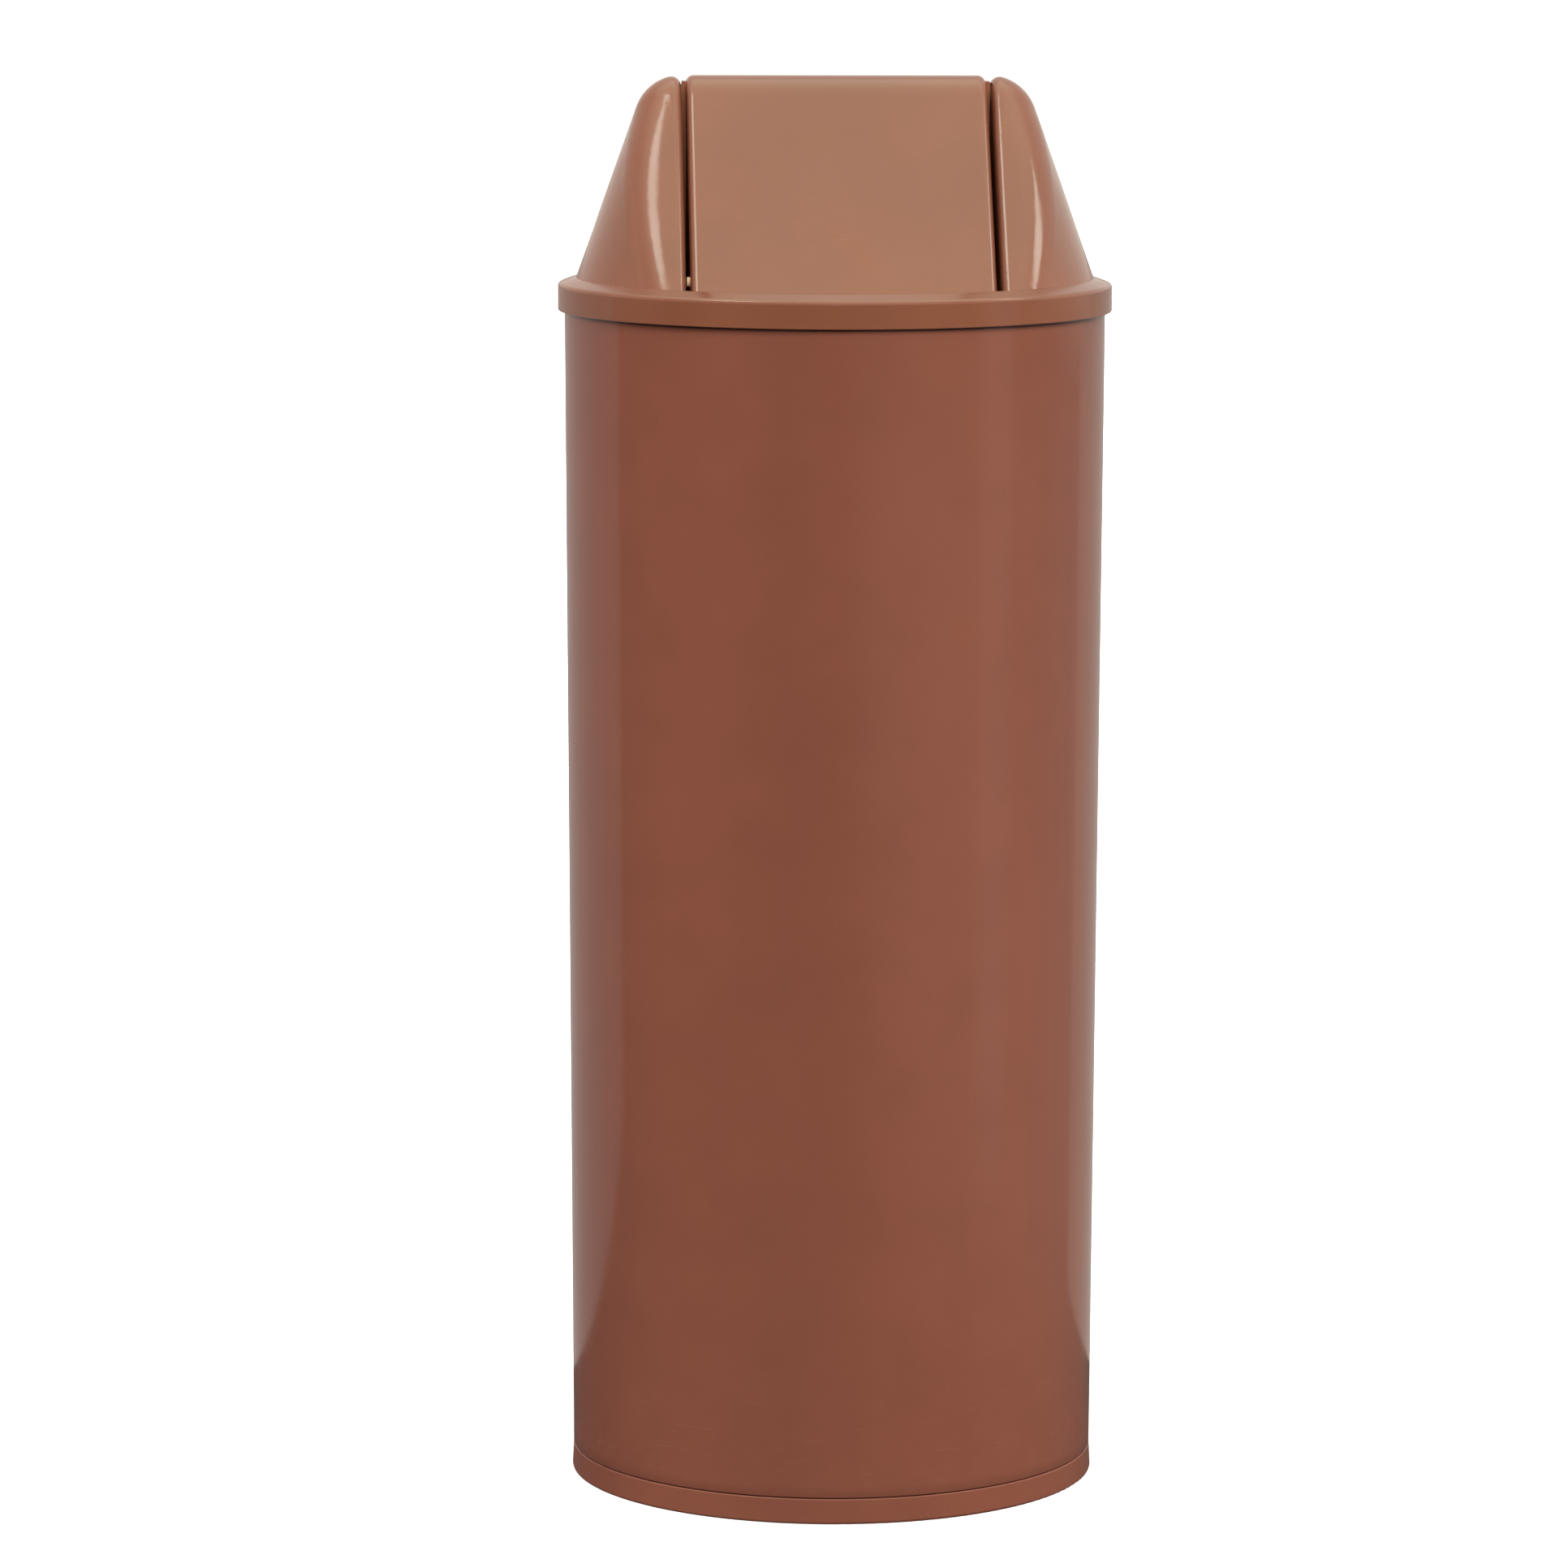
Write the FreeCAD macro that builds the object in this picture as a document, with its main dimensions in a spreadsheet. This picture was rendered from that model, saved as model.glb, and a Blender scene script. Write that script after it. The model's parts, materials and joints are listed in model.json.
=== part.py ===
import FreeCAD, Part
import os
import re
import Sketcher

# Swing-top trash can: a round bin with a clip-on foot ring, a lift-off lid with two hollow cheeks,
# and a roof-shaped flap that swings between the cheeks on two pins.
# Millimetres, +Z up, origin on the floor under the bin's axis; -Y is the front, -X the left.

SAME_PLACE = 0.01
ALONG_AXIS = 0.999

SIZES = {
    # Bin body
    "body_height": 739,
    "body_top_radius": 166,
    "body_foot_radius": 161.5,
    "body_wall": 2.5,
    "floor_wall": 3,
    "body_edge_round": 0.5,
    "step_rise": 5,
    # Foot ring
    "ring_height": 15.7,
    "ring_flare": 0.8,
    "ring_wall": 3.1,
    "ring_floor": 3,
    "ring_ledge": 11,
    "ring_top_round": 0.8,
    "ring_foot_round": 1.6,
    "ring_clearance": 0.2,
    "seam_gap": 0.6,
    "snap_height": 10,
    "snap_reach": 0.6,
    "snap_width": 3,
    # Lid rim and shelf
    "lid_wall": 2.5,
    "lip_wall": 6,
    "lip_fall": 4.3,
    "lip_round": 2.5,
    "lip_inner_round": 1,
    "lip_overlap": 0.5,
    "skirt_depth": 14.7,
    "skirt_clearance": 1.5,
    "skirt_edge_round": 0.8,
    "plug_depth": 8,
    "plug_clearance": 1.5,
    "shelf_drop": 5,
    # Hood
    "hood_height": 122.5,
    "foot_inset": 3.4,
    "cheek_top_width": 20.5,
    "cheek_foot_width": 16.5,
    "crest_round": 30,
    "corner_round": 29,
    "mouth_width": 189,
    "mouth_margin": 0.5,
    "mouth_edge_round": 6,
    # Swing flap
    "flap_gap": 2.8,
    "flap_wall": 2.5,
    "flap_edge_round": 5,
    "flap_lift": 1.5,
    "rib_wall": 1.5,
    "rib_clearance": 0.5,
    "swing_limit": 75,
    # Pivots, from the flap outwards
    "pivot_depth": 11.5,
    "pin_radius": 3,
    "pin_head_radius": 5,
    "pin_head_length": 2.5,
    "pin_chamfer": 0.8,
    "pin_tail": 3,
    "pin_fit": 0.02,
    "boss_radius": 6,
    "bush_radius": 4.5,
    "bush_flange_radius": 6,
    "bush_flange": 1,
    "bush_tail": 0.4,
    "bush_fit": 0.05,
    "running_gap": 0.3,
    "washer_radius": 6.5,
    "washer_thickness": 1,
    "clip_radius": 5,
    "clip_thickness": 0.8,
    "clip_groove": 0.6,
    "clip_opening": 70,
    "clip_fit": 0.1,
    # Stop pegs and their stops
    "peg_radius": 3,
    "peg_length": 2.1,
    "peg_shank_radius": 1.6,
    "peg_bulb_radius": 2.1,
    "peg_bulb_length": 1.6,
    "peg_rise": 6.5,
    "peg_inset": 11,
    "stop_clearance": 0.4,
    "stop_length": 8,
    "stop_reach": 3,
}

# Sizes that follow from those above
DERIVED = {
    "floor_top": "ring_floor + floor_wall",
    "spigot_radius": "body_foot_radius - ring_wall - ring_clearance",
    "spigot_top": "ring_height + seam_gap",
    "body_draft": "(body_top_radius - body_foot_radius) / (body_height - spigot_top)",
    "rim_radius": "body_top_radius + skirt_clearance + lid_wall",
    "lip_top": "body_height + lip_wall",
    "lip_edge": "lip_top - lip_fall",
    "shelf_top": "lip_top - shelf_drop",
    "shelf_low": "shelf_top - lid_wall",
    "plug_radius": "body_top_radius - body_wall - plug_clearance",
    "hood_foot_radius": "plug_radius - foot_inset",
    "lip_bore": "hood_foot_radius - lip_overlap",
    "crest_top": "lip_top + hood_height",
    "crest_axis": "crest_top - crest_round",
    "mouth_half": "mouth_width / 2",
    "crest_half": "mouth_half + cheek_top_width",
    "hood_lean": "atan((hood_foot_radius - crest_half) / hood_height)",
    "roof_foot": "sqrt(hood_foot_radius ^ 2 - (mouth_half + cheek_foot_width) ^ 2)",
    "roof_rise": "crest_axis - lip_top",
    "roof_reach": "sqrt(roof_foot ^ 2 + roof_rise ^ 2)",
    "roof_angle": "acos(crest_round / roof_reach) - atan(roof_rise / roof_foot)",
    "mouth_depth": "roof_foot + shelf_drop * tan(roof_angle) + mouth_margin",
    "flap_half": "mouth_half - flap_gap",
    "flap_low": "shelf_top + flap_lift",
    "pivot_height": "crest_top - pivot_depth",
    "cheek_wall_back": "mouth_half + lid_wall",
    "bush_face": "mouth_half - bush_flange",
    "bush_end": "cheek_wall_back + bush_tail",
    "boss_face": "bush_face - running_gap",
    "washer_near": "bush_end + running_gap",
    "clip_near": "washer_near + washer_thickness + running_gap",
    "clip_far": "clip_near + clip_thickness",
    "pin_end": "clip_far + clip_fit + pin_tail",
    "groove_radius": "pin_radius - clip_groove",
    "peg_height": "flap_low + peg_rise",
    "peg_drop": "pivot_height - peg_height",
}


def bound(text):
    """The sheet expression for a size written with the names above."""
    def full(match):
        word = match.group()
        if word in SIZES:
            return "Dimensions." + word
        if word in DERIVED:
            return "(" + bound(DERIVED[word]) + ")"
        return word
    return re.sub(r"[a-z_]+", full, text)


def value(text):
    return float(sheet.evalExpression(bound(text)))


def bind(thing, **properties):
    for name, text in properties.items():
        thing.setExpression(name.replace("__", "."), bound(text))


def roof_depth(height, inset="0"):
    """Depth of the roof's face at a height, measured from the middle; inset moves the face inwards."""
    crest = f"(crest_round - ({inset}))"
    shoulder = f"(crest_axis + {crest} * sin(roof_angle))"
    return f"({crest} * cos(roof_angle) + ({shoulder} - ({height})) * tan(roof_angle))"


def hood_radius(height, inset="0"):
    """Radius of the hood's cone at a height; inset moves the face inwards."""
    return f"(hood_foot_radius - ({inset}) / cos(hood_lean) - (({height}) - lip_top) * tan(hood_lean))"


def new_sketch(body, name, role):
    sketch = body.newObject("Sketcher::SketchObject", name)
    plane = next(part for part in body.Origin.OriginFeatures if part.Role == role)
    sketch.AttachmentSupport = [(plane, "")]
    sketch.MapMode = "FlatFace"
    return sketch


def pin_point(sketch, geometry, end, across, up):
    """Fixes one end of a line at a place given by two expressions."""
    for kind, text in (("DistanceX", across), ("DistanceY", up)):
        index = sketch.addConstraint(Sketcher.Constraint(kind, -1, 1, geometry, end, value(text)))
        sketch.setExpression(f"Constraints[{index}]", bound(text))


def add_outline(sketch, corners):
    """A closed outline of straight sides; each corner is a pair of expressions."""
    points = [FreeCAD.Vector(value(across), value(up), 0) for across, up in corners]
    first = sketch.GeometryCount
    count = len(points)
    for number in range(count):
        sketch.addGeometry(Part.LineSegment(points[number], points[(number + 1) % count]))
    for number in range(count):
        following = first + (number + 1) % count
        sketch.addConstraint(Sketcher.Constraint("Coincident", first + number, 2, following, 1))
    for number, (across, up) in enumerate(corners):
        pin_point(sketch, first + number, 1, across, up)


def add_roof(sketch, low, inset="0"):
    """The roof's end outline: two leaning sides, tangent to a round crest, on a level foot."""
    crest = f"(crest_round - ({inset}))"
    shoulder = (f"{crest} * cos(roof_angle)", f"crest_axis + {crest} * sin(roof_angle)")
    foot = (roof_depth(low, inset), low)
    left = [FreeCAD.Vector(-value(across), value(up), 0) for across, up in (foot, shoulder)]
    right = [FreeCAD.Vector(value(across), value(up), 0) for across, up in (shoulder, foot)]
    top = FreeCAD.Vector(0, value(f"crest_axis + {crest}"), 0)
    first = sketch.GeometryCount
    sketch.addGeometry(Part.LineSegment(left[0], left[1]))
    sketch.addGeometry(Part.LineSegment(right[0], right[1]))
    sketch.addGeometry(Part.LineSegment(right[1], left[0]))
    arc = sketch.addGeometry(Part.Arc(right[0], top, left[1]))
    sketch.addConstraint(Sketcher.Constraint("Coincident", first + 1, 2, first + 2, 1))
    sketch.addConstraint(Sketcher.Constraint("Coincident", first + 2, 2, first, 1))
    sketch.addConstraint(Sketcher.Constraint("Coincident", arc, 1, first + 1, 1))
    sketch.addConstraint(Sketcher.Constraint("Coincident", arc, 2, first, 2))
    radius = sketch.addConstraint(Sketcher.Constraint("Radius", arc, value(crest)))
    sketch.setExpression(f"Constraints[{radius}]", bound(crest))
    pin_point(sketch, first, 1, f"-({foot[0]})", foot[1])
    pin_point(sketch, first, 2, f"-({shoulder[0]})", shoulder[1])
    pin_point(sketch, first + 1, 1, *shoulder)
    pin_point(sketch, first + 1, 2, *foot)


def add_circle(sketch, across, up, radius):
    centre = FreeCAD.Vector(value(across), value(up), 0)
    circle = sketch.addGeometry(Part.Circle(centre, FreeCAD.Vector(0, 0, 1), value(radius)))
    pin_point(sketch, circle, 3, across, up)
    index = sketch.addConstraint(Sketcher.Constraint("Radius", circle, value(radius)))
    sketch.setExpression(f"Constraints[{index}]", bound(radius))


def new_body(label):
    body = doc.addObject("PartDesign::Body", label)
    body.Label = label
    return body


def add_feature(body, kind, sketch, **properties):
    feature = body.newObject("PartDesign::" + kind, kind)
    feature.Profile = sketch
    for name, setting in properties.items():
        setattr(feature, name, setting)
    return feature


def revolve(body, corners, axis="V_Axis"):
    sketch = new_sketch(body, "section", "XZ_Plane")
    add_outline(sketch, corners)
    feature = add_feature(body, "Revolution", sketch, ReferenceAxis=(sketch, [axis]), Angle=360)
    doc.recompute()
    return feature


def round_edges(body, feature, test, radius):
    """A fillet on those edges of a feature that pass a test."""
    doc.recompute()
    shape = feature.Shape
    names = [f"Edge{number}" for number, edge in enumerate(shape.Edges, 1) if test(shape, edge)]
    fillet = body.newObject("PartDesign::Fillet", "Fillet")
    fillet.Base = (feature, names)
    bind(fillet, Radius=radius)
    doc.recompute()
    return fillet


def rings_at(*places):
    """A test for the round edges at the given pairs of radius and height."""
    targets = [(value(radius), value(height)) for radius, height in places]

    def test(shape, edge):
        if not isinstance(edge.Curve, Part.Circle):
            return False
        found = (edge.Curve.Radius, edge.Curve.Center.z)
        return any(abs(found[0] - target[0]) + abs(found[1] - target[1]) < SAME_PLACE for target in targets)
    return test


def is_level(face):
    return isinstance(face.Surface, Part.Plane) and abs(face.Surface.Axis.z) > ALONG_AXIS


def is_gable(face):
    return isinstance(face.Surface, Part.Plane) and abs(face.Surface.Axis.x) > ALONG_AXIS


def is_cone(face):
    return isinstance(face.Surface, Part.Cone)


def meets(wanted):
    """A test for the edges where a wanted face meets one that is neither level nor of the same kind."""
    def test(shape, edge):
        faces = shape.ancestorsOfType(edge, Part.Face)
        others = [face for face in faces if not wanted(face)]
        return len(faces) == 2 and len(others) == 1 and not is_level(others[0])
    return test


def make_bin_body():
    """Tapered shell with its floor; a spigot below takes the foot ring, with a groove for its snap bead."""
    body = new_body("bin_body")
    groove_radius = "spigot_radius - snap_reach"
    shell = revolve(body, [
        ("0", "ring_floor"),
        ("spigot_radius", "ring_floor"),
        ("spigot_radius", "snap_height - snap_width / 2 - ring_clearance"),
        (groove_radius, "snap_height - snap_width / 4 - ring_clearance"),
        (groove_radius, "snap_height + snap_width / 4 + ring_clearance"),
        ("spigot_radius", "snap_height + snap_width / 2 + ring_clearance"),
        ("spigot_radius", "spigot_top"),
        ("body_foot_radius", "spigot_top"),
        ("body_top_radius", "body_height"),
        ("body_top_radius - body_wall", "body_height"),
        ("body_foot_radius - body_wall + body_draft * step_rise", "spigot_top + step_rise"),
        ("spigot_radius - body_wall", "spigot_top"),
        ("spigot_radius - body_wall", "floor_top"),
        ("0", "floor_top"),
    ])
    rings = rings_at(("body_foot_radius", "spigot_top"))
    round_edges(body, shell, rings, "body_edge_round")
    return body


def make_base_ring():
    """Foot ring: a flared band round the spigot with a floor ledge under it and a snap bead inside."""
    body = new_body("base_ring")
    foot = "body_foot_radius + ring_flare"
    bore = "body_foot_radius - ring_wall"
    bead = "body_foot_radius - ring_wall - snap_reach"
    ring = revolve(body, [
        ("body_foot_radius - ring_wall - ring_ledge", "0"),
        (foot, "0"),
        ("body_foot_radius", "ring_height"),
        (bore, "ring_height"),
        (bore, "snap_height + snap_width / 2"),
        (bead, "snap_height + snap_width / 4"),
        (bead, "snap_height - snap_width / 4"),
        (bore, "snap_height - snap_width / 2"),
        (bore, "ring_floor"),
        ("body_foot_radius - ring_wall - ring_ledge", "ring_floor"),
    ])
    top = round_edges(body, ring, rings_at(("body_foot_radius", "ring_height")), "ring_top_round")
    round_edges(body, top, rings_at((foot, "0")), "ring_foot_round")
    return body


def make_lid_dish():
    """The lid's rim and shelf: sloped lip, skirt outside, plug ring inside the body's mouth, shelf across."""
    body = new_body("lid_dish")
    skirt_bore = "rim_radius - lid_wall"
    skirt_low = "body_height - skirt_depth"
    plug_low = "body_height - plug_depth"
    dish = revolve(body, [
        ("0", "shelf_low"),
        ("plug_radius - lid_wall", "shelf_low"),
        ("plug_radius - lid_wall", plug_low),
        ("plug_radius", plug_low),
        ("plug_radius", "body_height"),
        (skirt_bore, "body_height"),
        (skirt_bore, skirt_low),
        ("rim_radius", skirt_low),
        ("rim_radius", "lip_edge"),
        ("lip_bore", "lip_top"),
        ("lip_bore", "shelf_top"),
        ("0", "shelf_top"),
    ])
    lip = round_edges(body, dish, rings_at(("rim_radius", "lip_edge")), "lip_round")
    inner = rings_at(("lip_bore", "lip_top"))
    lip = round_edges(body, lip, inner, "lip_inner_round")
    round_edges(body, lip, rings_at(("rim_radius", skirt_low)), "skirt_edge_round")
    return body


def make_cheeks(label, inset, low):
    """The two cheeks as solids: a cone under a roof, parted by the slot for the flap."""
    body = new_body(label)
    margin = "crest_round"
    cone = revolve(body, [
        ("0", low),
        (hood_radius(low, inset), low),
        (hood_radius("crest_top", inset), "crest_top"),
        ("0", "crest_top"),
    ])
    sketch = new_sketch(body, "roof", "YZ_Plane")
    reach = f"{hood_radius(low, inset)} + {margin}"
    add_outline(sketch, [
        (f"-({reach})", f"{low} - 2 * {margin}"),
        (reach, f"{low} - 2 * {margin}"),
        (reach, f"crest_top + {margin}"),
        (f"-({reach})", f"crest_top + {margin}"),
    ])
    add_roof(sketch, f"{low} - {margin}", inset)
    roofed = add_feature(body, "Pocket", sketch, Type="ThroughAll", SideType="Symmetric")
    cornered = round_edges(body, roofed, meets(is_cone), f"corner_round - ({inset})")
    sketch = new_sketch(body, "slot", "XZ_Plane")
    half = f"mouth_half + ({inset})"
    add_outline(sketch, [
        (f"-({half})", f"{low} - {margin}"),
        (half, f"{low} - {margin}"),
        (half, f"crest_top + {margin}"),
        (f"-({half})", f"crest_top + {margin}"),
    ])
    slotted = add_feature(body, "Pocket", sketch, Type="ThroughAll", SideType="Symmetric")
    round_edges(body, slotted, meets(is_gable), f"mouth_edge_round - ({inset})")
    return body


def make_block(label, corner, size):
    """A box from its low corner and its three sizes, all expressions."""
    block = doc.addObject("Part::Box", label)
    block.Label = label
    bind(block, Length=size[0], Width=size[1], Height=size[2])
    bind(block, Placement__Base__x=corner[0], Placement__Base__y=corner[1], Placement__Base__z=corner[2])
    return block


def make_cross_bore(label, radius, half):
    """A cylinder along the pivot axis, reaching equally to both sides."""
    bore = doc.addObject("Part::Cylinder", label)
    bore.Label = label
    bore.Placement.Rotation = FreeCAD.Rotation(FreeCAD.Vector(0, 1, 0), 90)
    bind(bore, Radius=radius, Height=f"2 * ({half})")
    bind(bore, Placement__Base__x=f"-({half})", Placement__Base__z="pivot_height")
    return bore


def make_stop(label, side):
    """A stop at the shelf's edge: it stands in the way of one peg at the end of the swing."""
    near = "flap_half + stop_clearance"
    turn = "swing_limit * 1 deg"
    face = f"(peg_drop * sin({turn}) - {peg_depth()} * cos({turn}) + peg_radius + stop_clearance)"
    level = f"(pivot_height - peg_drop * cos({turn}) - {peg_depth()} * sin({turn}))"
    low = f"min(shelf_low; {level} - peg_radius - stop_reach)"
    high = f"max(shelf_top; {level} + peg_radius + stop_reach)"
    thickness = f"(cheek_wall_back - ({near}))"
    if side == "left":
        corner = ("-cheek_wall_back", face, low)
    else:
        corner = (near, f"-({face}) - stop_length", low)
    return make_block(label, corner, (thickness, "stop_length", f"{high} - {low}"))


def peg_depth():
    return f"({roof_depth('peg_height')} - peg_inset)"


def fuse(label, *pieces):
    joined = doc.addObject("Part::MultiFuse", label)
    joined.Label = label
    joined.Shapes = list(pieces)
    return joined


def cut(label, base, tool):
    result = doc.addObject("Part::Cut", label)
    result.Label = label
    result.Base = base
    result.Tool = tool
    return result


def make_lid_hood():
    """The lid as one moulding: rim, shelf and hollow cheeks, with the mouth cut through the shelf."""
    solid = fuse("lid_solid", make_lid_dish(), make_cheeks("cheek_solid", "0", "shelf_low + lid_wall / 2"))
    low = "(shelf_low - plug_depth)"
    mouth = make_block("mouth", ("-mouth_half", "-mouth_depth", low),
                       ("mouth_width", "2 * mouth_depth", f"crest_top - {low} + crest_round"))
    hollow = make_cheeks("cheek_hollow", "lid_wall", "shelf_low - lid_wall / 2")
    bore = make_cross_bore("bush_bore", "bush_radius + bush_fit", "cheek_wall_back + lid_wall")
    shell = cut("lid_shell", solid, fuse("lid_hollow", mouth, hollow, bore))
    return fuse("lid_hood", shell, make_stop("stop_left", "left"), make_stop("stop_right", "right"))


def make_swing_flap():
    """Roof-shaped shell, open below; each gable has a boss for the pivot pin, and a rib with an eye round it."""
    body = new_body("swing_flap")
    sketch = new_sketch(body, "roof", "YZ_Plane")
    add_roof(sketch, "flap_low")
    roof = add_feature(body, "Pad", sketch, SideType="Symmetric")
    bind(roof, Length="2 * flap_half")
    edged = round_edges(body, roof, meets(is_gable), "flap_edge_round")
    sketch = new_sketch(body, "boss", "YZ_Plane")
    add_circle(sketch, "0", "pivot_height", "boss_radius")
    boss = add_feature(body, "Pad", sketch, SideType="Symmetric")
    bind(boss, Length="2 * boss_face")
    sketch = new_sketch(body, "gable_rib", "YZ_Plane")
    eye_radius = "bush_flange_radius + rib_clearance"
    rib_half = f"({eye_radius} + rib_wall)"
    rib_top = f"pivot_height + {rib_half}"
    add_outline(sketch, [
        (f"-{rib_half}", "flap_low"),
        (rib_half, "flap_low"),
        (rib_half, rib_top),
        (f"-{rib_half}", rib_top),
    ])
    add_circle(sketch, "0", "pivot_height", eye_radius)
    rib = add_feature(body, "Pad", sketch, SideType="Symmetric")
    bind(rib, Length="2 * (mouth_half - rib_clearance)")
    sketch = new_sketch(body, "hollow", "YZ_Plane")
    add_roof(sketch, "flap_low - flap_wall", "flap_wall")
    hollow = add_feature(body, "Pocket", sketch, SideType="Symmetric")
    bind(hollow, Length="2 * (flap_half - flap_wall)")
    sketch = new_sketch(body, "pin_bore", "YZ_Plane")
    add_circle(sketch, "0", "pivot_height", "pin_radius + pin_fit")
    add_feature(body, "Pocket", sketch, Type="ThroughAll", SideType="Symmetric")
    for name, sign, reverse in (("front", "-1", False), ("rear", "1", True)):
        sketch = new_sketch(body, "peg_bore_" + name, "YZ_Plane")
        add_circle(sketch, f"{sign} * {peg_depth()}", "peg_height", "peg_shank_radius + pin_fit")
        bore = add_feature(body, "Pocket", sketch, Reversed=reverse)
        bind(bore, Length="flap_half + peg_length")
    return body


def turn_about_axis(label, side, corners, height="pivot_height", depth="0", angle="360"):
    """A turned piece on an axis along X, drawn for the right-hand side and turned round for the left."""
    body = new_body(label)
    spun = revolve(body, corners, "H_Axis")
    bind(spun, Angle=angle)
    if side == "left":
        body.Placement.Rotation = FreeCAD.Rotation(FreeCAD.Vector(0, 0, 1), 180)
    bind(body, Placement__Base__y=depth, Placement__Base__z=height)
    return body


def make_pivot_pin(side):
    """Headed pin: the head bears on the gable from inside, a groove near the end takes the clip."""
    head_far = "flap_half - flap_wall"
    head_near = f"{head_far} - pin_head_length"
    return turn_about_axis("pivot_pin_" + side, side, [
        (head_near, "0"),
        (head_near, "pin_head_radius"),
        (head_far, "pin_head_radius"),
        (head_far, "pin_radius"),
        ("clip_near - clip_fit", "pin_radius"),
        ("clip_near - clip_fit", "groove_radius"),
        ("clip_far + clip_fit", "groove_radius"),
        ("clip_far + clip_fit", "pin_radius"),
        ("pin_end - pin_chamfer", "pin_radius"),
        ("pin_end", "pin_radius - pin_chamfer"),
        ("pin_end", "0"),
    ])


def make_pivot_bush(side):
    """Flanged bush: its barrel lines the hole in the cheek's wall, its flange faces the flap's boss."""
    return turn_about_axis("pivot_bush_" + side, side, [
        ("bush_face", "pin_radius + bush_fit"),
        ("bush_face", "bush_flange_radius"),
        ("mouth_half", "bush_flange_radius"),
        ("mouth_half", "bush_radius"),
        ("bush_end", "bush_radius"),
        ("bush_end", "pin_radius + bush_fit"),
    ])


def make_pivot_washer(side):
    return turn_about_axis("pivot_washer_" + side, side, [
        ("washer_near", "pin_radius + clip_fit"),
        ("washer_near", "washer_radius"),
        ("washer_near + washer_thickness", "washer_radius"),
        ("washer_near + washer_thickness", "pin_radius + clip_fit"),
    ])


def make_pin_clip(side):
    """Open retaining ring in the pin's groove."""
    return turn_about_axis("pin_clip_" + side, side, [
        ("clip_near", "groove_radius + clip_fit"),
        ("clip_near", "clip_radius"),
        ("clip_far", "clip_radius"),
        ("clip_far", "groove_radius + clip_fit"),
    ], angle="360 - clip_opening")


def make_stop_peg(name, side):
    """Push-in peg: its head stands in the gap beside the flap, its bulb holds it from inside."""
    gable_inside = "flap_half - flap_wall"
    depth = peg_depth() if side == "right" else f"-{peg_depth()}"
    return turn_about_axis("stop_peg_" + name, side, [
        (f"{gable_inside} - peg_bulb_length", "0"),
        (f"{gable_inside} - peg_bulb_length", "peg_shank_radius"),
        (gable_inside, "peg_bulb_radius"),
        (gable_inside, "peg_shank_radius"),
        ("flap_half", "peg_shank_radius"),
        ("flap_half", "peg_radius"),
        ("flap_half + peg_length", "peg_radius"),
        ("flap_half + peg_length", "0"),
    ], height="peg_height", depth=depth)


def make_all():
    nodes = [make_bin_body(), make_base_ring(), make_lid_hood(), make_swing_flap()]
    for side in ("left", "right"):
        nodes.append(make_pivot_pin(side))
        nodes.append(make_pivot_bush(side))
        nodes.append(make_pivot_washer(side))
        nodes.append(make_pin_clip(side))
    nodes.append(make_stop_peg("front", "left"))
    nodes.append(make_stop_peg("rear", "right"))
    return nodes


def write_parts(nodes):
    """Writes one file for each node, after every object and shape has been found sound."""
    doc.recompute()
    for thing in doc.Objects:
        if "Invalid" in thing.State or "Error" in thing.State:
            raise RuntimeError(f"{thing.Label} failed: {thing.State}")
    for node in nodes:
        if node.Shape.isNull() or not node.Shape.isValid() or not node.Shape.Solids:
            raise RuntimeError(f"{node.Label} has no sound shape")
    os.makedirs("parts", exist_ok=True)
    for node in nodes:
        node.Shape.exportStep(f"parts/{node.Label}.step")
        box = node.Shape.BoundBox
        print(f"{node.Label}: {len(node.Shape.Solids)} solid, {node.Shape.Volume:.0f} mm3,",
              f"z {box.ZMin:.1f} to {box.ZMax:.1f}")


doc = FreeCAD.newDocument("swing_top_bin")
sheet = doc.addObject("Spreadsheet::Sheet", "Dimensions")
for row, (name, size) in enumerate(SIZES.items(), 1):
    sheet.set(f"A{row}", name)
    sheet.set(f"B{row}", str(size))
    sheet.setAlias(f"B{row}", name)
doc.recompute()
write_parts(make_all())
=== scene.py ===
import json
import math
from typing import NamedTuple

import bmesh
import bpy
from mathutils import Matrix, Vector


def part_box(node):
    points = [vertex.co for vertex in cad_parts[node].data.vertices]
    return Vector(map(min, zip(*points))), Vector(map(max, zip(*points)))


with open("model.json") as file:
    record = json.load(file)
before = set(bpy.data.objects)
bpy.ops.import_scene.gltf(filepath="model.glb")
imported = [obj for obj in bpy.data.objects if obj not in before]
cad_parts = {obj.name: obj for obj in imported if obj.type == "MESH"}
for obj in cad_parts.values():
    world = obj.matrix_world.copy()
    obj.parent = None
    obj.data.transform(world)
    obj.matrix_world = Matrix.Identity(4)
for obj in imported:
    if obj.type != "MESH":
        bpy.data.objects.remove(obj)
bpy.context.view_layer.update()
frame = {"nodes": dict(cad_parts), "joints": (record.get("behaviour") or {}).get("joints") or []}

# Swing-top trash can in warm brown moulded plastic, standing in a white studio.
# Metres, +Z up, -Y is the front; every node's mesh lies in this frame.

MM = 0.001
WHITE = (1.0, 1.0, 1.0)
BLACK = (0.0, 0.0, 0.0)

# The photograph's frame in pixels, and the camera that was fitted to it
PHOTO_SIDE = 1932
FOCAL_PIXELS = 8596
AXIS_COLUMN = 1026.8
CAMERA_DISTANCE = 4.2814
CAMERA_HEIGHT = 1.0338
CAMERA_AZIMUTH = math.radians(-2.9)
CAMERA_ROLL = math.radians(0.18)
AIM_HEIGHT = 0.4301
SENSOR_WIDTH = 36.0

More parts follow.
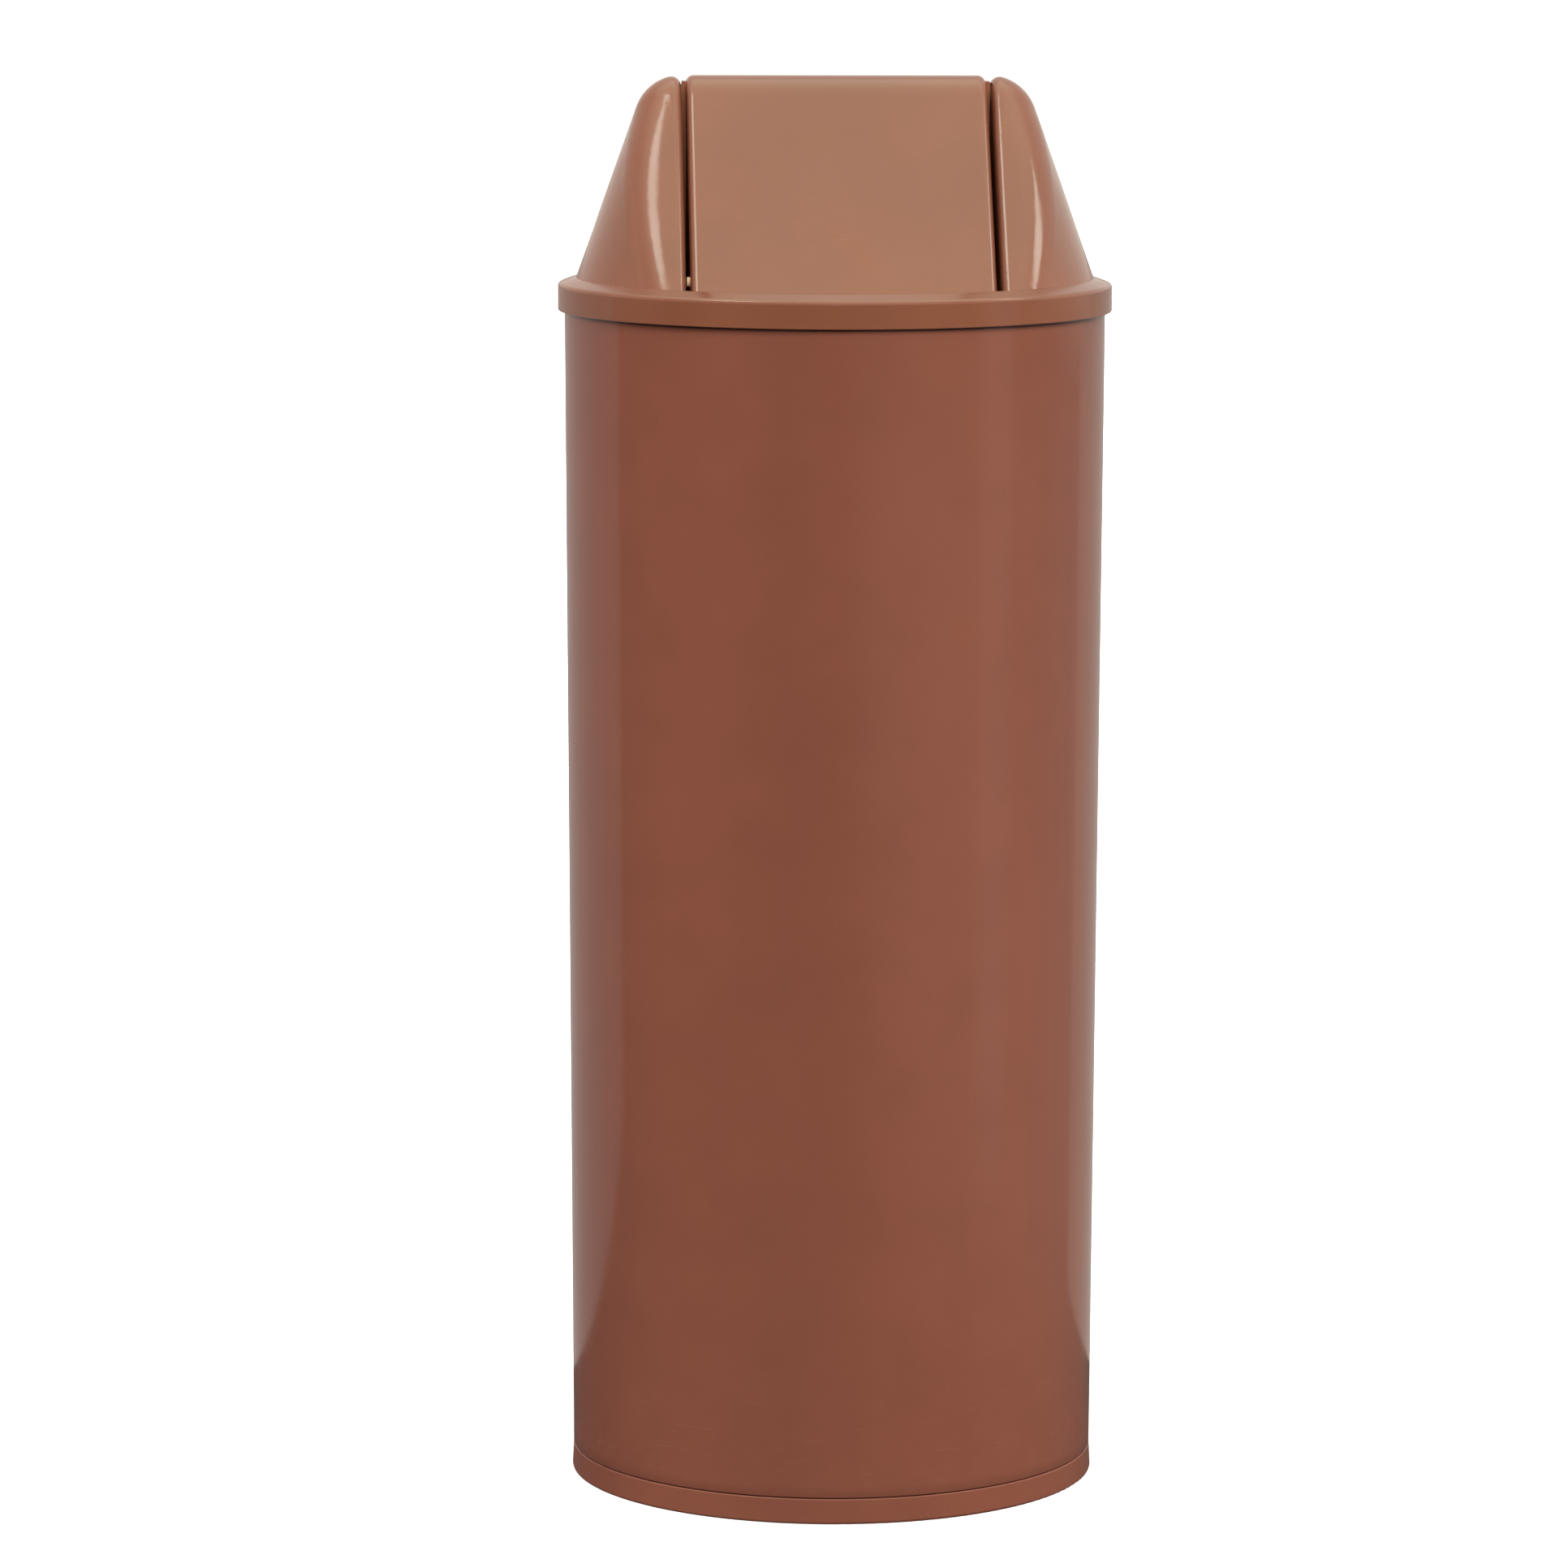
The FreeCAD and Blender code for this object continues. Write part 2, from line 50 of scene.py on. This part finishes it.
# Colours of the pieces, linear
BODY_COLOUR = (0.262, 0.086, 0.053)
LID_COLOUR = (0.257, 0.088, 0.046)
PEG_COLOUR = (0.62, 0.42, 0.27)
NYLON_COLOUR = (0.40, 0.22, 0.13)
STEEL_COLOUR = (0.60, 0.59, 0.57)
SPRING_COLOUR = (0.36, 0.35, 0.34)
# The washers' colour is darker and browner than the pin's steel so that they show no bright glint in the
# lid's gaps: painted shade
DARKENED_WASHER_COLOUR = (0.34, 0.27, 0.21)
SCUFF_COLOUR = (0.62, 0.50, 0.42)

# Tints, as factors of a piece's own colour
TONE_DARK = 0.93
TONE_LIGHT = 1.06
SPECK_TINT = 1.5
WEAR_TINT = 1.7
# The next tint is the darker colour of the painted shade in the seam above the foot ring
PAINTED_SHADE_TINT = 0.55
DUST_TINT = 0.72
PLATING_DARK = 0.85
PLATING_LIGHT = 1.08
SPOT_TINT = 0.4

# How far each tint covers the colour below it
SPECK_SHARE = 0.10
WEAR_SHARE = 0.03
SCUFF_SHARE = 0.05
# The next share is how far the painted seam shade covers the plastic's colour
PAINTED_SHADE_SHARE = 0.45
DUST_SHARE = 0.35
SPOT_SHARE = 0.5

# Roughness of each finish at its cleanest, and what marks add to it
PLASTIC_GLOSS = 0.13
RING_GLOSS = 0.2
PEG_GLOSS = 0.3
PIN_GLOSS = 0.22
PRESSED_GLOSS = 0.3
NYLON_ROUGHNESS = (0.38, 0.55)
SMEAR_ROUGHNESS = 0.06
WEAR_ROUGHNESS = 0.08
MATT_ROUGHNESS = 0.45
PLATING_ROUGHNESS = 0.14
PLASTIC_IOR = 1.49

# Relief of the surfaces
WAVE_DEPTH = 0.10 * MM
PEEL_DEPTH = 0.007 * MM
GRAIN_DEPTH = 0.0009 * MM
SCORE_DEPTH = 0.01 * MM
NYLON_RING_DEPTH = 0.01 * MM
STEEL_RING_DEPTH = 0.006 * MM
RING_PITCH = 0.22 * MM

# Wall of the lid's rim over the body's top edge
LIP_WALL = 6 * MM


class Mark(NamedTuple):
    """A noisy mark in a surface: its size, fineness and stretch, and the levels over which it fades in."""
    size: float
    detail: float = 2.0
    stretch: tuple = (1, 1, 1)
    fade: tuple = (0.3, 0.7)


# Marks in moulded plastic, in bearing plastic, in plated steel and in the floor's paper
FLOW = Mark(110 * MM, stretch=(1, 1, 6))
MOTTLE = Mark(45 * MM, 4)
FLOW_WEIGHT = 0.6
TONE_FADE = (0.3, 0.7)
SPECKS = Mark(1.1 * MM, 1, fade=(0.45, 0.9))
SCRATCHES = Mark(0.9 * MM, 2, (45, 45, 1), (0.60, 0.70))
WORN_PATCHES = Mark(12 * MM, 3, fade=(0.42, 0.62))
SMEARS = Mark(60 * MM, 3, fade=(0.42, 0.7))
WAVES = Mark(90 * MM, 1, (1, 1, 4))
ORANGE_PEEL = Mark(3.6 * MM, 1)
GRAIN = Mark(0.4 * MM, 1)
DUST = Mark(2 * MM, 3, fade=(0.45, 0.75))
PLATING = Mark(2.5 * MM, 3)
SPOTS = Mark(0.8 * MM, fade=(0.62, 0.74))
PAPER_CLOUD = Mark(600 * MM)

# The studio: its sky, its floor with a glow of its own, and the tent that is seen in reflections
SKY_COLOUR = (1.0, 0.98, 0.94)
SKY_LEVEL = 0.12
HORIZON_BLUR = 0.02
FLOOR_HALF = 60
FLOOR_TONES = ((0.90, 0.90, 0.90), (0.92, 0.92, 0.92))
FLOOR_ROUGHNESS = 0.9
FLOOR_GLOW = (0.52, 0.95)
FLOOR_GLOW_REACH = (0.5, 4.0)
TENT_RADIUS = 8.0
TENT_SEGMENTS = 64
TENT_COLOURS = ((1.0, 0.93, 0.84), (1.0, 1.07, 0.84))

# The tent's radiance, and what it gains overhead and at its right-hand side
TENT_LEVEL = 0.82
TENT_TOP = 1.3
TENT_RIGHT = 0.18

# Heights of the tent's bright crown and of its hem, as shares of its radius, and the hem's rise to the front
TENT_CROWN = (0.6, 0.97)
TENT_HEM = (0.02, 0.05)
TENT_HEM_LEAN = 0.04

# The floor as the body's gloss sees it: darkest to the left, paler from the middle to the right
FLOOR_CARD_HALF = 0.94 * TENT_RADIUS
FLOOR_CARD_LIFT = 0.5 * MM
FLOOR_CARD_REACH = 1.2
FLOOR_CARD_GLOW = (0.08, 0.3)

# What the lights and cards are turned to, and the height of the upright cards
LID_MIDDLE = (0, 0, 0.8)
BODY_MIDDLE = (0, 0, 0.45)
CARD_TOP = 0.76
STRIPE_COLOUR = (1.0, 1.06, 0.93)


class Recipe:
    """A material under construction: adds nodes and joins them up."""

    def __init__(self, name):
        self.material = bpy.data.materials.new(name)
        self.material.use_nodes = True
        self.tree = self.material.node_tree
        self.shader = self.tree.nodes["Principled BSDF"]
        coordinates = self.tree.nodes.new("ShaderNodeTexCoord")
        self.place = coordinates.outputs["Object"]
        self.facing = coordinates.outputs["Normal"]
        self.x, self.y, self.z = self.split(self.place)

    def feed(self, socket, source):
        if isinstance(source, bpy.types.NodeSocket):
            self.tree.links.new(source, socket)
        else:
            socket.default_value = source

    def add(self, kind, inputs, **settings):
        node = self.tree.nodes.new(kind)
        for name, setting in settings.items():
            setattr(node, name, setting)
        for name, source in inputs.items():
            self.feed(node.inputs[name], source)
        return node

    def split(self, vector):
        return self.add("ShaderNodeSeparateXYZ", {"Vector": vector}).outputs

    def math(self, operation, *terms):
        return self.add("ShaderNodeMath", dict(enumerate(terms)), operation=operation).outputs[0]

    def times(self, first, second):
        return self.math("MULTIPLY", first, second)

    def plus(self, first, second):
        return self.math("ADD", first, second)

    def noise(self, mark):
        """Noise from 0 to 1 whose features have a mark's size, longer along a stretched axis."""
        scale = [1 / (mark.size * factor) for factor in mark.stretch]
        spread = self.add("ShaderNodeVectorMath", {0: self.place, 1: scale}, operation="MULTIPLY")
        inputs = {"Vector": spread.outputs[0], "Scale": 1.0, "Detail": mark.detail}
        return self.add("ShaderNodeTexNoise", inputs).outputs[0]

    def ramp(self, source, low, high, to_low=0.0, to_high=1.0):
        """A smooth step from one value to another."""
        inputs = {"Value": source, "From Min": low, "From Max": high, "To Min": to_low, "To Max": to_high}
        return self.add("ShaderNodeMapRange", inputs, interpolation_type="SMOOTHSTEP").outputs["Result"]

    def marked(self, mark, strength=1.0):
        """0 where a mark is absent, rising to its strength where it lies."""
        return self.ramp(self.noise(mark), *mark.fade, 0.0, strength)

    def near(self, source, place, reach):
        """1 where a coordinate is at a place, falling to 0 at a distance from it."""
        distance = self.math("ABSOLUTE", self.math("SUBTRACT", source, place))
        return self.ramp(distance, 0, reach, 1, 0)

    def blend(self, share, first, second):
        """A mix of two colours."""
        node = self.tree.nodes.new("ShaderNodeMix")
        node.data_type = "RGBA"
        sockets = {socket.name: socket for socket in node.inputs if socket.enabled}
        self.feed(sockets["Factor"], share)
        self.feed(sockets["A"], as_colour(first))
        self.feed(sockets["B"], as_colour(second))
        return next(socket for socket in node.outputs if socket.enabled)

    def bump(self, height, depth, below=None):
        inputs = {"Height": height, "Distance": depth, "Strength": 1.0}
        if below is not None:
            inputs["Normal"] = below
        return self.add("ShaderNodeBump", inputs).outputs["Normal"]

    def surface(self, **inputs):
        """Sets the shader's own sockets; an underscore in a name stands for a space."""
        for name, source in inputs.items():
            self.feed(self.shader.inputs[name.replace("_", " ")], source)
        return self.material


def as_colour(source):
    return (*source, 1) if isinstance(source, tuple) else source


def scaled(values, factor):
    return tuple(value * factor for value in values)


def moulded(name, colour, wear, gloss=PLASTIC_GLOSS, matt=None, painted_shade=None):
    """Glossy moulded plastic: slow flow marks, orange peel, hand marks and worn edges, and painted shade
    where a mask is given.
    """
    recipe = Recipe(name)
    worn = recipe.times(wear(recipe), recipe.marked(WORN_PATCHES))
    scuffs = recipe.times(recipe.marked(SCRATCHES), worn)
    shade = moulded_shade(recipe, colour, worn, scuffs)
    # Painted shade: where a mask is given, the colour is darkened towards a shaded copy of itself, as in the
    # body's seam above the foot ring
    if painted_shade is not None:
        shade = recipe.blend(recipe.times(painted_shade(recipe), PAINTED_SHADE_SHARE), shade, scaled(colour, PAINTED_SHADE_TINT))
    rough = recipe.math("MULTIPLY_ADD", recipe.marked(SMEARS), SMEAR_ROUGHNESS, gloss)
    rough = recipe.plus(rough, recipe.times(worn, WEAR_ROUGHNESS))
    if matt is not None:
        rough = recipe.plus(rough, recipe.times(matt(recipe), MATT_ROUGHNESS))
    relief = moulded_relief(recipe, scuffs)
    return recipe.surface(Base_Color=shade, Roughness=rough, Normal=relief, IOR=PLASTIC_IOR)


def moulded_shade(recipe, colour, worn, scuffs):
    """The plastic's colour: flow marks and mottling, pigment specks, and paler wear and scuffs."""
    flow = recipe.times(recipe.noise(FLOW), FLOW_WEIGHT)
    mottle = recipe.times(recipe.noise(MOTTLE), 1 - FLOW_WEIGHT)
    tone = recipe.ramp(recipe.plus(flow, mottle), *TONE_FADE)
    shade = recipe.blend(tone, scaled(colour, TONE_DARK), scaled(colour, TONE_LIGHT))
    shade = recipe.blend(recipe.marked(SPECKS, SPECK_SHARE), shade, scaled(colour, SPECK_TINT))
    shade = recipe.blend(recipe.times(worn, WEAR_SHARE), shade, scaled(colour, WEAR_TINT))
    return recipe.blend(recipe.times(scuffs, SCUFF_SHARE), shade, SCUFF_COLOUR)


def moulded_relief(recipe, scuffs):
    """The plastic's relief: slow waves, orange peel, fine grain, and scratches where it is worn."""
    waves = recipe.bump(recipe.noise(WAVES), WAVE_DEPTH)
    peel = recipe.bump(recipe.noise(ORANGE_PEEL), PEEL_DEPTH, waves)
    grain = recipe.bump(recipe.noise(GRAIN), GRAIN_DEPTH, peel)
    return recipe.bump(scuffs, -SCORE_DEPTH, grain)


def foot_wear(recipe):
    """Knocks and mop marks on the lowest hand's breadth of the body."""
    full_below = 20 * MM
    none_above = 130 * MM
    strength = 0.8
    return recipe.ramp(recipe.z, full_below, none_above, strength, 0.0)


def ring_wear(recipe):
    """Knocks on the foot ring, most at the floor."""
    least_above = 17 * MM
    most = 0.4
    least = 0.1
    return recipe.ramp(recipe.z, 0.0, least_above, most, least)


def painted_seam_shade(recipe):
    """Painted shade: darkens the body in the seam just above the foot ring, where the crease between the
    parts lies in shade.
    """
    reach = 9 * MM
    return recipe.near(recipe.z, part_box("base_ring")[1].z, reach)


def rim_wear(recipe):
    """Handled edges: the rim's lip, the lower edge of its skirt, and the crests of the cheeks."""
    low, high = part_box("lid_hood")
    skirt_reach = 4 * MM
    lip_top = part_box("bin_body")[1].z + LIP_WALL
    lip_drop = 1.5 * MM
    lip_reach = 5 * MM
    lip_strength = 0.4
    crest_depth = 20 * MM
    crest_strength = 0.6
    skirt = recipe.near(recipe.z, low.z, skirt_reach)
    lip = recipe.times(recipe.near(recipe.z, lip_top - lip_drop, lip_reach), lip_strength)
    crest = recipe.ramp(recipe.z, high.z - crest_depth, high.z, 0, crest_strength)
    return recipe.math("MAXIMUM", recipe.math("MAXIMUM", skirt, lip), crest)


def push_wear(recipe):
    """Hand marks where the flap is pushed, low in the middle of each face, and along its side edges."""
    low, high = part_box("swing_flap")
    palm_half_width = 75 * MM
    palm_half_height = 50 * MM
    palm_rise = 30 * MM
    edge_far = 9 * MM
    edge_near = 3 * MM
    strength = 0.5
    across = recipe.near(recipe.x, 0.0, palm_half_width)
    height = recipe.near(recipe.z, low.z + palm_rise, palm_half_height)
    palm = recipe.times(recipe.times(across, height), strength)
    sideways = recipe.math("ABSOLUTE", recipe.x)
    side = recipe.ramp(sideways, high.x - edge_far, high.x - edge_near, 0, strength)
    return recipe.math("MAXIMUM", palm, side)


def slide_walls(recipe):
    """The upright walls on both sides of the mouth, left matt by the mould's slide."""
    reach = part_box("swing_flap")[1].x
    full_within = reach + 2 * MM
    none_beyond = reach + 4 * MM
    turned_from = 0.90
    turned_to = 0.98
    across = recipe.math("ABSOLUTE", recipe.split(recipe.facing)[0])
    sideways = recipe.ramp(across, turned_from, turned_to)
    beside = recipe.ramp(recipe.math("ABSOLUTE", recipe.x), full_within, none_beyond, 1, 0)
    return recipe.times(sideways, beside)


def peg_wear(recipe):
    """Rubbing on the pegs, most at the level of their axes."""
    low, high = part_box("stop_peg_front")
    reach = 4 * MM
    return recipe.near(recipe.z, (low.z + high.z) / 2, reach)


def turned_rings(recipe):
    """Fine circular tool marks about the pivot axis, along X."""
    pivot = next(joint["pos_m"] for joint in frame["joints"] if joint["name"] == "flap_swing")
    depth = recipe.math("SUBTRACT", recipe.y, pivot[1])
    height = recipe.math("SUBTRACT", recipe.z, pivot[2])
    squares = recipe.plus(recipe.math("POWER", depth, 2.0), recipe.math("POWER", height, 2.0))
    reach = recipe.plus(recipe.math("SQRT", squares), recipe.x)
    return recipe.math("SINE", recipe.times(reach, math.tau / RING_PITCH))


def nylon(name, colour):
    """Waxy bearing plastic, turned: fine rings round the pivot and a little dust."""
    recipe = Recipe(name)
    dust = recipe.marked(DUST)
    shade = recipe.blend(recipe.times(dust, DUST_SHARE), colour, scaled(colour, DUST_TINT))
    rings = recipe.bump(turned_rings(recipe), NYLON_RING_DEPTH)
    rough = recipe.ramp(dust, 0, 1, *NYLON_ROUGHNESS)
    return recipe.surface(Base_Color=shade, Roughness=rough, Normal=rings)


def steel(name, colour, gloss):
    """Plated steel: tool marks, slightly cloudy plating and darker spots."""
    recipe = Recipe(name)
    cloud = recipe.noise(PLATING)
    cloudy = recipe.ramp(cloud, *PLATING.fade)
    shade = recipe.blend(cloudy, scaled(colour, PLATING_DARK), scaled(colour, PLATING_LIGHT))
    spots = recipe.times(recipe.marked(SPOTS), SPOT_SHARE)
    shade = recipe.blend(spots, shade, scaled(colour, SPOT_TINT))
    rough = recipe.ramp(cloud, *PLATING.fade, gloss, gloss + PLATING_ROUGHNESS)
    rings = recipe.bump(turned_rings(recipe), STEEL_RING_DEPTH)
    return recipe.surface(Base_Color=shade, Roughness=rough, Normal=rings, Metallic=1.0)


def dress_nodes():
    """Gives each node the finish of its piece."""
    finishes = {
        # The body's colour carries painted shade in the seam above its foot ring
        "bin_body": moulded("body_plastic", BODY_COLOUR, foot_wear, painted_shade=painted_seam_shade),
        "base_ring": moulded("ring_plastic", BODY_COLOUR, ring_wear, RING_GLOSS),
        "lid_hood": moulded("lid_plastic", LID_COLOUR, rim_wear, matt=slide_walls),
        "swing_flap": moulded("flap_plastic", LID_COLOUR, push_wear, matt=slide_walls),
        "stop_peg": moulded("peg_plastic", PEG_COLOUR, peg_wear, PEG_GLOSS),
        "pivot_bush": nylon("bush_plastic", NYLON_COLOUR),
        # The washers' darkened colour is painted shade
        "pivot_washer": steel("washer_steel", DARKENED_WASHER_COLOUR, PRESSED_GLOSS),
        "pivot_pin": steel("pin_steel", STEEL_COLOUR, PIN_GLOSS),
        "pin_clip": steel("clip_steel", SPRING_COLOUR, PRESSED_GLOSS),
    }
    for name, node in frame["nodes"].items():
        finish = next(material for start, material in finishes.items() if name.startswith(start))
        node.data.materials.clear()
        node.data.materials.append(finish)


def link(name, data):
    thing = bpy.data.objects.new(name, data)
    bpy.context.scene.collection.objects.link(thing)
    return thing


def turn_to(place, target):
    """The rotation that points a camera's, light's or card's -Z at a target."""
    return (Vector(target) - Vector(place)).to_track_quat("-Z", "Y")


def add_camera():
    data = bpy.data.cameras.new("photo_camera")
    data.sensor_width = SENSOR_WIDTH
    data.lens = FOCAL_PIXELS / PHOTO_SIDE * SENSOR_WIDTH
    data.shift_x = (PHOTO_SIDE / 2 - AXIS_COLUMN) / PHOTO_SIDE
    camera = link("photo_camera", data)
    across = math.sin(CAMERA_AZIMUTH) * CAMERA_DISTANCE
    along = -math.cos(CAMERA_AZIMUTH) * CAMERA_DISTANCE
    camera.location = (across, along, CAMERA_HEIGHT)
    camera.rotation_euler = turn_to(camera.location, (0, 0, AIM_HEIGHT)).to_euler()
    camera.rotation_euler.rotate_axis("Z", CAMERA_ROLL)
    bpy.context.scene.camera = camera


def add_softbox(name, place, size, radiance, colour):
    """A rectangular light, turned to the body, that shades the object but shows in nothing."""
    data = bpy.data.lights.new(name, "AREA")
    data.shape = "RECTANGLE"
    data.size, data.size_y = size
    data.energy = radiance * math.pi * size[0] * size[1]
    data.color = colour
    light = link(name, data)
    light.location = place
    light.rotation_euler = turn_to(place, BODY_MIDDLE).to_euler()
    light.visible_camera = False
    light.visible_glossy = False


def show_in_gloss_only(thing):
    """Keeps a piece of the studio out of everything but reflections."""
    thing.visible_camera = False
    thing.visible_diffuse = False
    thing.visible_shadow = False
    thing.visible_transmission = False


def glowing(recipe, strength, colour):
    """Makes a black material that only glows."""
    recipe.surface(Base_Color=as_colour(BLACK), Specular_IOR_Level=0.0)
    return recipe.surface(Emission_Color=as_colour(colour), Emission_Strength=strength)


def add_card(name, corners, material):
    """A flat card that only shows in reflections, as a studio's flags and reflectors do."""
    mesh = bpy.data.meshes.new(name)
    mesh.from_pydata(corners, [], [tuple(range(len(corners)))])
    mesh.materials.append(material)
    show_in_gloss_only(link(name, mesh))


def add_even_card(name, corners, radiance, colour=WHITE):
    add_card(name, corners, glowing(Recipe(name), radiance, colour))


def level_square(half, height):
    """Corners of a level square about the object's axis."""
    return [(-half, -half, height), (half, -half, height), (half, half, height), (-half, half, height)]


def upright(left, right):
    """Corners of an upright card between two points of the floor."""
    return [(*left, 0.0), (*right, 0.0), (*right, CARD_TOP), (*left, CARD_TOP)]


def facing_lid(place, size):
    """Corners of a card of a given width and height whose face is turned to the lid."""
    turn = turn_to(place, LID_MIDDLE)
    half_width = size[0] / 2
    half_height = size[1] / 2
    signs = ((-1, -1), (1, -1), (1, 1), (-1, 1))
    return [Vector(place) + turn @ Vector((half_width * a, half_height * b, 0)) for a, b in signs]


def add_floor_card():
    """A dark floor for the body's reflections, a little paler to the right."""
    recipe = Recipe("floor_card")
    glow = recipe.ramp(recipe.x, 0.0, FLOOR_CARD_REACH, *FLOOR_CARD_GLOW)
    corners = level_square(FLOOR_CARD_HALF, FLOOR_CARD_LIFT)
    add_card("floor_card", corners, glowing(recipe, glow, WHITE))


def tent_cloth():
    """White cloth that glows: brightest overhead, a little brighter on the right, dark below its hem."""
    recipe = Recipe("tent_cloth")
    crown_low, crown_high = scaled(TENT_CROWN, TENT_RADIUS)
    hem_low, hem_high = scaled(TENT_HEM, TENT_RADIUS)
    overhead = recipe.ramp(recipe.z, crown_low, crown_high)
    glow = recipe.ramp(overhead, 0, 1, TENT_LEVEL, TENT_LEVEL + TENT_TOP)
    glow = recipe.plus(glow, recipe.times(recipe.x, TENT_RIGHT / TENT_RADIUS))
    drop = recipe.math("MULTIPLY_ADD", recipe.y, TENT_HEM_LEAN, recipe.z)
    hem = recipe.ramp(drop, hem_low, hem_high)
    colour = recipe.blend(overhead, *TENT_COLOURS)
    return glowing(recipe, recipe.times(glow, hem), colour)


def add_tent():
    """A white tent over the studio, for reflections."""
    mesh = bpy.data.meshes.new("tent")
    shape = bmesh.new()
    rings = TENT_SEGMENTS // 2
    bmesh.ops.create_uvsphere(shape, u_segments=TENT_SEGMENTS, v_segments=rings, radius=TENT_RADIUS)
    shape.to_mesh(mesh)
    shape.free()
    mesh.materials.append(tent_cloth())
    show_in_gloss_only(link("tent", mesh))


def floor_paper():
    """Pale paper, slightly cloudy, with a glow that grows away from the object."""
    recipe = Recipe("floor_paper")
    shade = recipe.blend(recipe.noise(PAPER_CLOUD), *FLOOR_TONES)
    distance = recipe.add("ShaderNodeVectorMath", {0: recipe.place}, operation="LENGTH").outputs["Value"]
    glow = recipe.ramp(distance, *FLOOR_GLOW_REACH, *FLOOR_GLOW)
    recipe.surface(Base_Color=shade, Roughness=FLOOR_ROUGHNESS, Specular_IOR_Level=0.0)
    return recipe.surface(Emission_Color=as_colour(WHITE), Emission_Strength=glow)


def add_floor():
    mesh = bpy.data.meshes.new("floor")
    mesh.from_pydata(level_square(FLOOR_HALF, 0), [], [(0, 1, 2, 3)])
    mesh.materials.append(floor_paper())
    floor = link("floor", mesh)
    floor.visible_diffuse = False
    floor.visible_glossy = False


def add_world():
    """Even light from the whole sky, and none from below the floor."""
    world = bpy.data.worlds.new("studio")
    bpy.context.scene.world = world
    world.use_nodes = True
    nodes = world.node_tree.nodes
    links = world.node_tree.links
    sky = nodes["Background"]
    sky.inputs["Color"].default_value = as_colour(SKY_COLOUR)
    split = nodes.new("ShaderNodeSeparateXYZ")
    links.new(nodes.new("ShaderNodeTexCoord").outputs["Generated"], split.inputs[0])
    edge = nodes.new("ShaderNodeMapRange")
    edge.inputs["From Min"].default_value = -HORIZON_BLUR
    edge.inputs["From Max"].default_value = HORIZON_BLUR
    edge.inputs["To Max"].default_value = SKY_LEVEL
    links.new(split.outputs["Z"], edge.inputs["Value"])
    links.new(edge.outputs["Result"], sky.inputs["Strength"])


def add_softboxes():
    """Broad boxes at the front right, at both sides and behind, and a narrow strip nearly straight ahead."""
    add_softbox("front_box", (3.04, -11.3, 8.07), size=(8.0, 7.0), radiance=9.7, colour=(1.0, 0.99, 0.95))
    add_softbox("left_box", (-9.13, 1.6, 4.2), size=(5.0, 5.0), radiance=9.3, colour=(1.0, 0.96, 0.94))
    add_softbox("right_box", (9.13, 1.6, 4.2), size=(5.0, 5.0), radiance=6.4, colour=(1.0, 1.0, 0.94))
    add_softbox("strip_box", (-0.48, -9.5, 3.54), size=(0.9, 2.0), radiance=34.0, colour=(1.0, 1.0, 0.96))
    add_softbox("back_box", (-3.0, 11.3, 4.0), size=(8.0, 7.0), radiance=5.6, colour=(1.0, 0.99, 0.95))


def add_cards():
    """Two cards above for the bright stripes on the lid's cheeks, and three upright for the body's sides."""
    left_stripe = facing_lid(place=(-0.97, -0.38, 2.54), size=(0.70, 0.50))
    right_stripe = facing_lid(place=(1.62, -0.07, 2.12), size=(0.50, 0.46))
    back_left = upright(left=(-1.27, 0.27), right=(0, 0.27))
    back_right = upright(left=(0, 0.27), right=(0.62, 0.27))
    right_band = upright(left=(0.966, -0.607), right=(1.078, -0.337))
    add_even_card("left_stripe_card", left_stripe, radiance=7.6, colour=STRIPE_COLOUR)
    add_even_card("right_stripe_card", right_stripe, radiance=7.0, colour=STRIPE_COLOUR)
    add_even_card("back_left_card", back_left, radiance=0.46, colour=(1.0, 0.95, 0.90))
    add_even_card("back_right_card", back_right, radiance=0.54, colour=(1.0, 0.90, 0.82))
    add_even_card("right_band_card", right_band, radiance=0.5)


def add_studio():
    add_world()
    add_floor()
    add_softboxes()
    add_tent()
    add_floor_card()
    add_cards()
    bpy.context.scene.view_settings.view_transform = "Standard"


dress_nodes()
add_studio()
add_camera()
